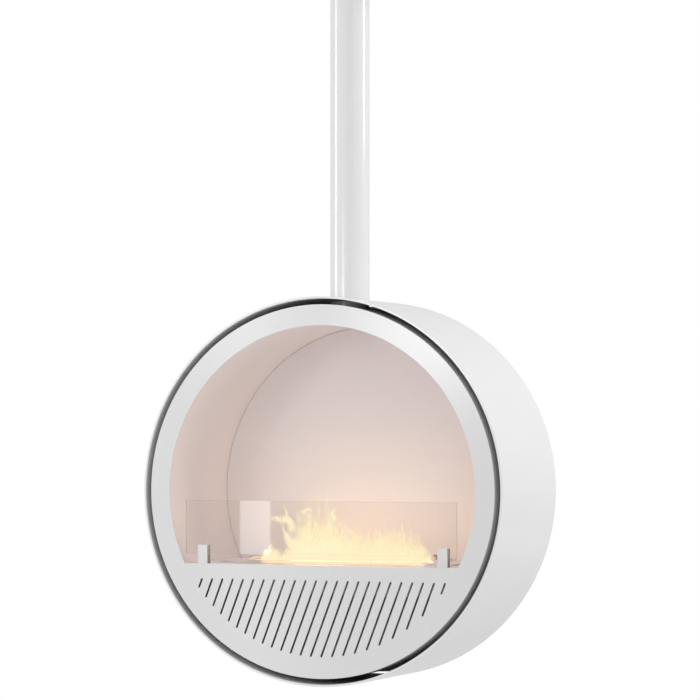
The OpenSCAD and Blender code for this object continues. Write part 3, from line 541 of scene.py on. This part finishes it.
def flame_light(name):
    """Glowing gas: peach at its foot, whole and pale above it, and torn into warmer licks
    higher up. The light that it gives isn't the colour that it shows."""
    flame = settings_of("flame")
    f = Finish(name)
    place = f.place()
    rise = f.add("ShaderNodeAttribute", {"attribute_name": "rise"}, output="Fac")
    body = f.add("ShaderNodeAttribute", {"attribute_name": "body"}, output="Fac")
    curl = f.grain(place, 30.0, 2.0, 0.5, 0.0, "Color")
    curl = f.stretch(f.shift(curl, (-0.5, -0.5, -0.5)), (0.03, 0.02, 0.03))
    blown = f.shift(place, curl)
    licks = f.grain(f.stretch(blown, (1.0, 1.0, 0.4)), 75.0, 3.0, 0.55)
    wisps = f.grain(f.stretch(blown, (1.0, 1.0, 0.42)), 130.0, 3.0, 0.6, 0.9)
    shape = licks * 0.65 + wisps * 0.35 - 0.5
    heat = (1.0 - rise) * 1.3 + shape * 1.9
    cover = heat.step(0.0, 0.55) * body
    between = tuple((a + b) / 2 for a, b in zip(flame.tip, flame.heart))
    z = f.split(place)[2]
    low = 1 - (z - PANE_LOW.z).step(-0.009, 0.001)
    patchy = heat * 0.9 + (wisps - 0.5) * 0.9 - licks.step(0.52, 0.68) * 0.25
    colour = f.ramp(patchy * 0.85,
                    [(0.04, flame.tip), (0.36, between), (0.64, flame.heart),
                     (0.78, flame.heart), (0.94, flame.foot)])
    colour = f.mix(low * 0.9, colour, flame.foot)
    seen = f.add("ShaderNodeLightPath", output="Is Camera Ray")
    given = f.mix(rise.step(0.0, 0.8), darker(flame.light, flame.glow * 2),
                  darker(flame.light, flame.glow * 0.3))
    light = f.mix(seen, given, colour)
    return f.finish(f.surface(base_color=(0.0, 0.0, 0.0), roughness=1.0,
                              specular_ior_level=0.0, alpha=cover, emission_color=light,
                              emission_strength=flame.strength))


def floor_coat(name):
    f = Finish(name)
    place = f.place()
    cloud = f.grain(place, 0.6, 4.0)
    grit = f.grain(place, 40.0, 2.0)
    base = f.mix(cloud.step(0.3, 0.7), (0.76, 0.76, 0.76), (0.80, 0.80, 0.80))
    return f.finish(f.surface(base_color=base, roughness=0.6 + (grit - 0.5) * 0.1,
                              normal=f.bump(grit, 0.0002)))


# ---- Making pieces ----


def dress(material, *names):
    """Gives CAD nodes a material."""
    for name in names:
        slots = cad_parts[name].data.materials
        slots.clear()
        slots.append(material)


def new_piece(name, bm, material, smooth=True):
    mesh = bpy.data.meshes.new(name)
    bm.to_mesh(mesh)
    bm.free()
    mesh.materials.append(material)
    for face in mesh.polygons:
        face.use_smooth = smooth
    piece = bpy.data.objects.new(name, mesh)
    bpy.context.scene.collection.objects.link(piece)
    return piece


def curve_between(points, x):
    """The height of a smooth line through points [(x, height), ...] at x."""
    if x <= points[0][0]:
        return points[0][1]
    for (xa, ha), (xb, hb) in zip(points, points[1:]):
        if x <= xb:
            t = (x - xa) / (xb - xa)
            t = t * t * (3 - 2 * t)
            return ha + (hb - ha) * t
    return points[-1][1]


# Top of the flames' body along the slot: places and heights over the burner, in metres
FLAME_LINE = [(-0.199, -0.003), (-0.187, 0.012), (-0.174, 0.029), (-0.160, 0.025),
              (-0.151, 0.014), (-0.140, 0.015), (-0.129, 0.026), (-0.117, 0.044),
              (-0.106, 0.064), (-0.095, 0.075), (-0.079, 0.077), (-0.061, 0.069),
              (-0.045, 0.076), (-0.029, 0.070), (-0.011, 0.064), (0.011, 0.051),
              (0.034, 0.041), (0.056, 0.037), (0.079, 0.048), (0.102, 0.040),
              (0.124, 0.045), (0.147, 0.037), (0.169, 0.031), (0.187, 0.018),
              (0.199, 0.004)]

# The flames stand about the middle of the burner's slot, at this y. The first curtain and
# the depth that all of them take up, and the haze that stands between them
FLAME_Y = -0.024
FIRST_CURTAIN_Y = -0.038
CURTAINS_DEEP = 0.028
HAZE_Y = -0.020

# Single tongues and wisps: spine of (place along the slot, height over the burner), half
# width, cover, and how far towards the tips' colour each starts
TONGUES = [
    ([(-0.113, 0.000), (-0.120, 0.026), (-0.131, 0.047), (-0.138, 0.066), (-0.146, 0.090)],
     0.0120, 1.00, 0.34),
    ([(-0.121, 0.052), (-0.130, 0.078), (-0.145, 0.088), (-0.160, 0.083), (-0.176, 0.072)],
     0.0150, 1.00, 0.40),
    ([(-0.138, 0.085), (-0.135, 0.100), (-0.140, 0.112), (-0.133, 0.119)],
     0.0042, 0.90, 0.30),
    ([(-0.106, -0.001), (-0.113, 0.024), (-0.124, 0.045), (-0.126, 0.062)],
     0.0150, 1.00, 0.24),
    ([(-0.187, -0.009), (-0.183, 0.004), (-0.172, 0.019), (-0.167, 0.034)],
     0.0135, 0.97, 0.15),
    ([(-0.169, -0.009), (-0.165, 0.006), (-0.153, 0.021)],
     0.0102, 0.90, 0.15),
    ([(-0.160, -0.002), (-0.163, 0.017), (-0.160, 0.032)],
     0.0045, 0.70, 0.45),
    ([(-0.138, -0.006), (-0.135, 0.013), (-0.131, 0.030)],
     0.0072, 0.85, 0.20),
    ([(-0.147, -0.006), (-0.149, 0.009), (-0.147, 0.021)],
     0.0036, 0.55, 0.45),
    ([(-0.104, 0.100), (-0.093, 0.106), (-0.081, 0.106), (-0.072, 0.109)],
     0.0055, 0.80, 0.30),
    ([(-0.081, 0.058), (-0.077, 0.080), (-0.081, 0.101)],
     0.0086, 0.70, 0.45),
    ([(-0.041, 0.059), (-0.038, 0.084), (-0.043, 0.108)],
     0.0043, 0.60, 0.50),
    ([(-0.025, 0.083), (-0.025, 0.097), (-0.018, 0.114)],
     0.0065, 1.00, 0.10),
    ([(-0.011, 0.047), (-0.011, 0.070), (-0.016, 0.085), (-0.009, 0.102)],
     0.0032, 0.60, 0.40),
    ([(-0.005, 0.079), (0.009, 0.064), (0.025, 0.052), (0.047, 0.041), (0.072, 0.031)],
     0.0041, 0.65, 0.25),
    ([(0.081, 0.006), (0.079, 0.031), (0.079, 0.053), (0.081, 0.067)],
     0.0081, 0.85, 0.25),
    ([(0.102, 0.040), (0.102, 0.070), (0.104, 0.099)],
     0.0036, 0.50, 0.60),
    ([(0.117, 0.041), (0.115, 0.066), (0.117, 0.083)],
     0.0036, 0.45, 0.60),
    ([(0.131, 0.024), (0.131, 0.058), (0.129, 0.089)],
     0.0038, 0.50, 0.55),
    ([(0.158, 0.020), (0.156, 0.043), (0.160, 0.067)],
     0.0050, 0.50, 0.50),
    ([(0.158, 0.074), (0.163, 0.079), (0.169, 0.084)],
     0.0036, 0.40, 0.55),
    ([(0.178, 0.008), (0.178, 0.027), (0.176, 0.046)],
     0.0045, 0.60, 0.45),
    ([(-0.052, 0.006), (-0.050, 0.036), (-0.054, 0.065)],
     0.0099, 0.90, 0.10)]


def flame_scale(flame):
    """What the reach in the settings makes of the heights above."""
    tallest = max(height for tongue in TONGUES for _, height in tongue[0])
    return flame.reach / tallest


def flame_mesh():
    """An empty mesh and its two measures: how far up the flame a point is, and how solid
    the flame is there."""
    bm = bmesh.new()
    return bm, bm.verts.layers.float.new("rise"), bm.verts.layers.float.new("body")


def join_lines(bm, lines):
    """Faces between neighbouring lines of points."""
    for a, b in zip(lines, lines[1:]):
        for j in range(len(a) - 1):
            bm.faces.new((a[j], b[j], b[j + 1], a[j + 1]))


def flame_curtain(name, y, seed, lift, thickness, material, flame):
    """One sheet of flame that stands along the slot and waves in depth. Its top gathers
    over the middle of the slot."""
    columns, rows = 150, 26
    half, faded_end = 0.196, 0.006
    foot = SCREEN_Z + 0.001
    sway, taper, gather = 0.014, 0.03, 0.25
    dice = random.Random(seed)
    offset = Vector((dice.random() * 40, dice.random() * 40, dice.random() * 40))
    bm, rise, body = flame_mesh()
    lines = []
    for i in range(columns + 1):
        along = -half + 2 * half * i / columns
        spread = noise.noise(Vector((along * 26, 0, 0)) + offset)
        height = curve_between(FLAME_LINE, along) * flame_scale(flame)
        height = height * lift * (1.22 + 0.24 * spread) + TOP_HIGH.z - foot
        end = min(1.0, (half - abs(along)) / faded_end)
        line = []
        for j in range(rows + 1):
            t = j / rows
            lean = noise.noise(Vector((along * 12, t * 1.6, 5)) + offset) * sway * t ** 1.4
            wave = noise.noise(Vector((along * 17, t * 2.2, 11)) + offset) * sway * t
            deep = y + (FLAME_Y - y) * gather * t + wave
            vert = bm.verts.new((along * (1 - taper * t) + lean, deep, foot + t * height))
            vert[rise] = t
            vert[body] = end * thickness
            line.append(vert)
        lines.append(line)
    join_lines(bm, lines)
    return new_piece(name, bm, material)


def flame_lip(name, material):
    """Burning vapour that rolls over the burner's front edge: a low faint sheet."""
    columns, rows = 90, 8
    left, right, faded_end = -0.170, 0.205, 0.012
    foot, height, y = HEARTH_Z + 0.0004, 0.017, TOP_LOW.y - 0.003
    roll, ripple, cover = 0.012, 0.0015, 0.45
    bm, rise, body = flame_mesh()
    lines = []
    for i in range(columns + 1):
        x = left + (right - left) * i / columns
        tall = height * (1 + 0.35 * noise.noise(Vector((x * 40, 3, 8))))
        end = min(1.0, (x - left) / faded_end, (right - x) / faded_end)
        line = []
        for j in range(rows + 1):
            t = j / rows
            back = roll * t * t + ripple * noise.noise(Vector((x * 60, t, 2)))
            vert = bm.verts.new((x, y + back, foot + t * tall))
            vert[rise] = 0.45 + 0.25 * t
            vert[body] = cover * end * (1 - t) ** 1.2
            line.append(vert)
        lines.append(line)
    join_lines(bm, lines)
    return new_piece(name, bm, material)


def spine_point(spine, t):
    """A point at t, from 0 to 1, on a smooth line through the spine's points."""
    spans = len(spine) - 1
    i = min(int(t * spans), spans - 1)
    u = t * spans - i
    a, b, c, d = [Vector(spine[max(0, min(spans, k))]) for k in range(i - 1, i + 3)]
    return 0.5 * (2 * b + (c - a) * u + (2 * a - 5 * b + 4 * c - d) * u ** 2
                  + (3 * b - a - 3 * c + d) * u ** 3)


def licks(flame, dice):
    """Thin upright licks over the body, in the same form as TONGUES."""
    first, along = -0.120, 0.310
    for i in range(flame.licks):
        x = first + along * (i + dice.uniform(0.1, 0.9)) / flame.licks
        body = curve_between(FLAME_LINE, x)
        low = body * dice.uniform(0.4, 0.85)
        top = body + dice.uniform(0.010, 0.036 + 0.1 * max(0.0, x))
        lean = dice.uniform(-0.004, 0.004)
        end = x + lean * dice.uniform(-1, 2)
        spine = [(x, low), (x + lean, (low + top) / 2), (end, top)]
        half_width = dice.uniform(0.0022, 0.0055)
        cover = dice.uniform(0.25, 0.6)
        yield spine, half_width, cover, dice.uniform(0.35, 0.6)


def flame_tongues(name, material, flame):
    """All single tongues: ribbons along their spines, turned a little in depth."""
    rows, columns = 26, 8
    scatter, most_turn, bend, ahead_by = 0.008, 0.7, 0.004, 0.02
    scale = flame_scale(flame)
    dice = random.Random(flame.seed)
    bm, rise, body = flame_mesh()
    for spine, half, cover, warm in [*TONGUES, *licks(flame, dice)]:
        y = FLAME_Y + dice.uniform(-scatter, scatter)
        turn = dice.uniform(-most_turn, most_turn)
        shake = dice.random() * 40
        lines = []
        for i in range(rows + 1):
            t = i / rows
            middle = spine_point(spine, t)
            ahead = (spine_point(spine, min(1.0, t + ahead_by))
                     - spine_point(spine, max(0.0, t - ahead_by)))
            across = Vector((ahead.y, -ahead.x)).normalized()
            width = half * (0.6 + 0.4 * min(1.0, t / 0.3)) * (1.04 - t) ** 0.6
            width *= 1 + 0.5 * noise.noise(Vector((shake, t * 5, 0)))
            middle += across * noise.noise(Vector((shake, t * 3, 9))) * half * 0.7
            line = []
            for j in range(columns + 1):
                u = 2 * j / columns - 1
                spot = middle + across * (u * width)
                deep = y + math.sin(turn) * (spot.x - middle.x) + bend * math.sin(5 * t + turn)
                vert = bm.verts.new((spot.x, deep, TOP_HIGH.z + spot.y * scale))
                vert[rise] = warm + (0.75 - warm * 0.6) * t
                fade = min(1.0, (1 - t) / 0.3) * min(1.0, t / 0.15)
                vert[body] = cover * (1 - u * u) * fade
                line.append(vert)
            lines.append(line)
        join_lines(bm, list(zip(*lines)))
    return new_piece(name, bm, material)


def fibre_mat(name, node, voxel, loft, material):
    """A mat of loose fibre in the space of a CAD node: round edges and a lumpy surface."""
    smoothings, lump_grain, tuft_grain = 4, 22.0, 130.0
    block = bpy.data.objects.new(name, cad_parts[node].data.copy())
    bpy.context.scene.collection.objects.link(block)
    skin = block.modifiers.new("skin", "REMESH")
    skin.mode = "VOXEL"
    skin.voxel_size = voxel
    graph = bpy.context.evaluated_depsgraph_get()
    skinned = bpy.data.meshes.new_from_object(block.evaluated_get(graph))
    bm = bmesh.new()
    bm.from_mesh(skinned)
    bpy.data.objects.remove(block)
    bpy.data.meshes.remove(skinned)
    for _ in range(smoothings):
        bmesh.ops.smooth_vert(bm, verts=bm.verts[:], factor=0.5, use_axis_x=True,
                              use_axis_y=True, use_axis_z=True)
    bm.normal_update()
    sunk = []
    for vert in bm.verts:
        lump = noise.noise(vert.co * lump_grain)
        tuft = noise.fractal(vert.co * tuft_grain, 1.0, 2.0, 3)
        sunk.append(vert.co - vert.normal * loft * (0.5 + 0.3 * lump + 0.2 * tuft))
    for vert, spot in zip(bm.verts, sunk):
        vert.co = spot
    mat = new_piece(name, bm, material)
    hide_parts(node)
    return mat


def eased_copy(name, node, ease, material):
    """The solids of a CAD node with their sharp edges rounded, as moulded rubber has them."""
    bm = bmesh.new()
    bm.from_mesh(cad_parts[node].data)
    bmesh.ops.remove_doubles(bm, verts=bm.verts[:], dist=0.00001)
    bmesh.ops.dissolve_limit(bm, angle_limit=0.01, verts=bm.verts[:], edges=bm.edges[:])
    bmesh.ops.bevel(bm, geom=bm.edges[:], offset=ease, segments=3, affect="EDGES")
    piece = new_piece(name, bm, material)
    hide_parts(node)
    return piece


# ---- Operators ----


class FittingOperator(bpy.types.Operator):
    """Dresses the ceiling plate, its bearing, spindle, cover and screws"""
    bl_idname = "fireplace.fitting"
    bl_label = "Ceiling fitting"

    def execute(self, context):
        metal = settings_of("metal")
        dress(powder_coat("cover_paint"), "ceiling_cover")
        dress(plated_zinc("plate_zinc"), "ceiling_plate")
        dress(plated_zinc("fitting_zinc"), "castle_nut", "split_pin", "cover_screws",
              "pole_head_screws")
        dress(oiled_steel("spindle_steel"), "hanger_spindle", "pole_head")
        dress(turned_metal("bearing_steel_ground", metal.bearing, 1500.0, 0.10),
              "shaft_washer", "housing_washer", "bearing_balls")
        dress(turned_metal("turned_bronze", metal.bronze, 1100.0, 0.26),
              "ball_cage", "guide_bush")
        return {"FINISHED"}


class PoleOperator(bpy.types.Operator):
    """Dresses the pole, its flange, the saddle in the drum and their bolts"""
    bl_idname = "fireplace.pole"
    bl_label = "Pole and saddle"

    def execute(self, context):
        dress(powder_coat("pole_paint"), "pole")
        dress(matt_coat("saddle_black", settings_of("paint").black), "pole_flange", "saddle",
              "saddle_bolts")
        dress(plated_zinc("flange_zinc"), "flange_bolts")
        return {"FINISHED"}


class DrumOperator(bpy.types.Operator):
    """Dresses the outer shell, the inner casing, the rear panel and what holds them"""
    bl_idname = "fireplace.drum"
    bl_label = "Drum"

    def execute(self, context):
        paint = settings_of("paint")
        dress(powder_coat("shell_paint_two_sided", DRUM_R - paint.shell_wall), "outer_shell")
        dress(powder_coat("rear_paint"), "rear_panel")
        dress(matt_coat("casing_grey", paint.casing, 1.08), "inner_casing")
        dress(matt_coat("stud_black", paint.black), "shell_studs", "shell_spacers")
        dress(plated_zinc("drum_zinc"), "shell_nuts", "rear_panel_screws")
        return {"FINISHED"}


class FrontOperator(bpy.types.Operator):
    """Dresses the slotted front panel and its nuts"""
    bl_idname = "fireplace.front"
    bl_label = "Front panel"

    def execute(self, context):
        # The panel's darker white is painted shade
        painted_shade = settings_of("paint").panel
        dress(powder_coat("panel_paint_satin", painted_shade=painted_shade), "front_panel")
        dress(plated_zinc("panel_zinc"), "panel_nuts")
        return {"FINISHED"}


class FireboxOperator(bpy.types.Operator):
    """Dresses the firebox's sheets and rails, and makes the insulation blankets"""
    bl_idname = "fireplace.firebox"
    bl_label = "Firebox"

    def execute(self, context):
        box = settings_of("firebox")
        dress(firebox_coat("firebox_paint_matt"), "firebox_liner", "firebox_back")
        dress(firebox_coat("hearth_paint_smooth", BAKED, box.slot_browning_and_glow), "hearth_floor")
        blanket = fibre("blanket_fibre", box.blanket, 240.0)
        for name, node in (("liner_blanket", "liner_insulation"),
                           ("back_blanket", "back_insulation")):
            mat = fibre_mat(name, node, 0.004, 0.0022, blanket)
            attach(mat, "fireplace")
        dress(oiled_steel("rail_steel"), "hearth_rails")
        dress(plated_zinc("firebox_zinc"), "firebox_back_nuts", "floor_screws")
        return {"FINISHED"}


class GlassOperator(bpy.types.Operator):
    """Makes the glass pane with ground arrises and its pads, and dresses the clips"""
    bl_idname = "fireplace.glass"
    bl_label = "Glass and clips"

    def execute(self, context):
        glass = settings_of("glass")
        bm = bmesh.new()
        bmesh.ops.create_cube(bm, size=1.0)
        size = PANE_HIGH - PANE_LOW
        middle = (PANE_HIGH + PANE_LOW) / 2
        for vert in bm.verts:
            vert.co = Vector(c * s for c, s in zip(vert.co, size)) + middle
        bmesh.ops.bevel(bm, geom=bm.edges[:], offset=glass.arris, segments=2,
                        affect="EDGES")
        pane = new_piece("glass_pane_arrised", bm, pane_glass("clear_glass"), False)
        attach(pane, "glass")
        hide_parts("glass_pane")
        dress(clip_coat("clip_paint_shaded_sides"), "glass_clip_left", "glass_clip_right")
        pads = eased_copy("silicone_pads", "clip_pads", 0.0002, silicone("clear_silicone"))
        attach(pads, "fireplace")
        dress(plated_zinc("clip_zinc"), "clip_screws")
        return {"FINISHED"}


class BurnerOperator(bpy.types.Operator):
    """Dresses the spill tray, the burner, the lid and its guides, and makes the fuel wool"""
    bl_idname = "fireplace.burner"
    bl_label = "Burner"

    def execute(self, context):
        burner = settings_of("burner")
        haze_and_glow = settings_of("firebox").slot_browning_and_glow
        dress(firebox_coat("burner_paint_smooth", BAKED, haze_and_glow), "burner_top", "burner_lid",
              "lid_guides")
        dress(brushed_steel("tank_steel"), "burner_tank")
        dress(brushed_steel("tray_steel", False), "spill_tray")
        wool = fibre_mat("tank_wool", "fuel_wool", 0.0035, 0.0020,
                         fibre("fuel_fibre", burner.wool, 420.0))
        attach(wool, "burner")
        dress(oiled_steel("screen_steel"), "wool_screen")
        dress(plated_zinc("guide_zinc"), "guide_screws")
        dress(turned_metal("knob_brown", burner.knob, 900.0, 0.45), "lid_knob")
        return {"FINISHED"}


class FlameOperator(bpy.types.Operator):
    """Lights the flames over the burner's slot"""
    bl_idname = "fireplace.flames"
    bl_label = "Flames"

    def execute(self, context):
        flame = settings_of("flame")
        material = flame_light("flame_glow")
        sheets = [flame_tongues("flame_tongues", material, flame),
                  flame_curtain("flame_haze", HAZE_Y, flame.seed + 20, 1.55, 0.42, material,
                                flame),
                  flame_lip("flame_lip", material)]
        for i in range(flame.curtains):
            y = FIRST_CURTAIN_Y + CURTAINS_DEEP * i / max(1, flame.curtains - 1)
            sheets.append(flame_curtain("flame_curtain_%d" % (i + 1), y, flame.seed + i, 1.0,
                                        0.85, material, flame))
        for sheet in sheets:
            sheet.visible_shadow = False
            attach(sheet, "burner")
            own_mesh(sheet)
        return {"FINISHED"}


# The camera: its place in metres, its lens and sensor in millimetres, and how many degrees
# it looks up and is turned about the pole
CAMERA_PLACE = (2.4630, -5.8137, -1.0128)
CAMERA_LENS = 154.54
CAMERA_SENSOR = 36.0
CAMERA_LIFT = 1.6025
CAMERA_TURN = 22.9595

# How tightly the room's two bright patches gather, each halfway between up and sideways
PATCH_FOCUS = 8
HALFWAY = 0.7071

# Soft boxes: name, place, the point it faces, width, height (metres) and power (watts).
# The pane mirrors the strip, and the panel's upper half mirrors the three sheen boxes.
SOFT_BOXES = [
    ("strip_light", (-1.512, -3.10, -1.30), (-0.148, -0.152, -1.205), 0.096, 1.40, 1.2),
    ("sheen_wide", (-0.88, -3.10, -0.60), (0.24, -0.164, -0.87), 0.50, 0.46, 4.1),
    ("sheen_right", (-0.93, -3.10, -0.77), (0.22, -0.164, -0.86), 0.34, 0.34, 1.7),
    ("sheen_left", (-1.56, -3.10, -0.66), (-0.17, -0.164, -0.81), 0.30, 0.30, 1.15),
    ("side_left", (-2.2, -0.95, -0.4), (0.0, 0.0, -0.6), 0.5, 1.4, 15.0),
    ("side_right", (2.2, 0.95, 0.3), (0.0, 0.0, -0.4), 0.5, 1.0, 13.7)]


class StageOperator(bpy.types.Operator):
    """Sets the camera, the floor, the room's light and the soft boxes"""
    bl_idname = "fireplace.stage"
    bl_label = "Studio"

    def execute(self, context):
        scene = context.scene
        stage = settings_of("stage")
        scene.view_settings.view_transform = "Standard"
        self.camera(scene)
        self.floor(stage)
        self.room(scene, stage)
        for name, place, target, width, height, power in SOFT_BOXES:
            self.soft_box(name, place, target, width, height, power * stage.boxes)
        return {"FINISHED"}

    @staticmethod
    def camera(scene):
        lens = bpy.data.cameras.new("camera")
        lens.lens = CAMERA_LENS
        lens.sensor_width = CAMERA_SENSOR
        camera = bpy.data.objects.new("camera", lens)
        camera.location = CAMERA_PLACE
        camera.rotation_euler = (math.radians(90 + CAMERA_LIFT), 0.0,
                                 math.radians(CAMERA_TURN))
        scene.collection.objects.link(camera)
        scene.camera = camera

    @staticmethod
    def floor(stage):
        bm = bmesh.new()
        bmesh.ops.create_circle(bm, cap_ends=True, segments=128, radius=stage.floor_r)
        floor = new_piece("floor", bm, floor_coat("pale_floor"), False)
        floor.location.z = stage.floor_z

    @staticmethod
    def room(scene, stage):
        """A white room: the camera sees it plain white. What lights the part is dimmer from
        behind than from the front, with a bright patch up on each side."""
        world = bpy.data.worlds.new("white_room")
        scene.world = world
        f = Finish("white_room", world)
        x, y, z = f.split(f.add("ShaderNodeTexCoord", output="Generated"))
        turn = math.radians(CAMERA_TURN)
        towards = x * math.sin(turn) - y * math.cos(turn)
        across = x * math.cos(turn) + y * math.sin(turn)
        light = towards.most(0.0) * stage.front + (0 - towards).most(0.0) * stage.rear
        light = light + ((z - across) * HALFWAY).most(0.0) ** PATCH_FOCUS * stage.left
        light = light + ((z + across) * HALFWAY).most(0.0) ** PATCH_FOCUS * stage.right
        seen = f.add("ShaderNodeLightPath", output="Is Camera Ray")
        strength = light * (1 - seen) + seen
        shader = f.add("ShaderNodeBackground", None,
                       {"Color": (1.0, 1.0, 1.0, 1.0), "Strength": strength})
        f.finish(shader)

    @staticmethod
    def soft_box(name, place, target, width, height, power):
        lamp = bpy.data.lights.new(name, "AREA")
        lamp.shape = "RECTANGLE"
        lamp.size = width
        lamp.size_y = height
        lamp.energy = power
        box = bpy.data.objects.new(name, lamp)
        box.location = place
        aim = Vector(target) - Vector(place)
        box.rotation_euler = aim.to_track_quat("-Z", "Y").to_euler()
        box.visible_camera = False
        bpy.context.scene.collection.objects.link(box)


OPERATORS = (FittingOperator, PoleOperator, DrumOperator, FrontOperator, FireboxOperator,
             GlassOperator, BurnerOperator, FlameOperator, StageOperator)


class FireplacePanel(bpy.types.Panel):
    """Lists the steps that dress the fireplace, with their settings"""
    bl_idname = "VIEW3D_PT_fireplace"
    bl_label = "Hanging fireplace"
    bl_space_type = "VIEW_3D"
    bl_region_type = "UI"
    bl_category = "Fireplace"

    def draw(self, context):
        for operator in OPERATORS:
            self.layout.operator(operator.bl_idname)
        for group, kind in SETTINGS.items():
            box = self.layout.box()
            box.label(text=group.capitalize())
            for name in kind.__annotations__:
                box.prop(settings_of(group), name)


CLASSES = (*SETTINGS.values(), *OPERATORS, FireplacePanel)


def register():
    for kind in CLASSES:
        bpy.utils.register_class(kind)
    for group, kind in SETTINGS.items():
        setattr(bpy.types.Scene, "fireplace_" + group,
                bpy.props.PointerProperty(type=kind))


def unregister():
    for group in SETTINGS:
        delattr(bpy.types.Scene, "fireplace_" + group)
    for kind in reversed(CLASSES):
        bpy.utils.unregister_class(kind)


def main():
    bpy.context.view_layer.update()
    register()
    for operator in OPERATORS:
        group, name = operator.bl_idname.split(".")
        getattr(getattr(bpy.ops, group), name)()


if __name__ == "__main__":
    main()
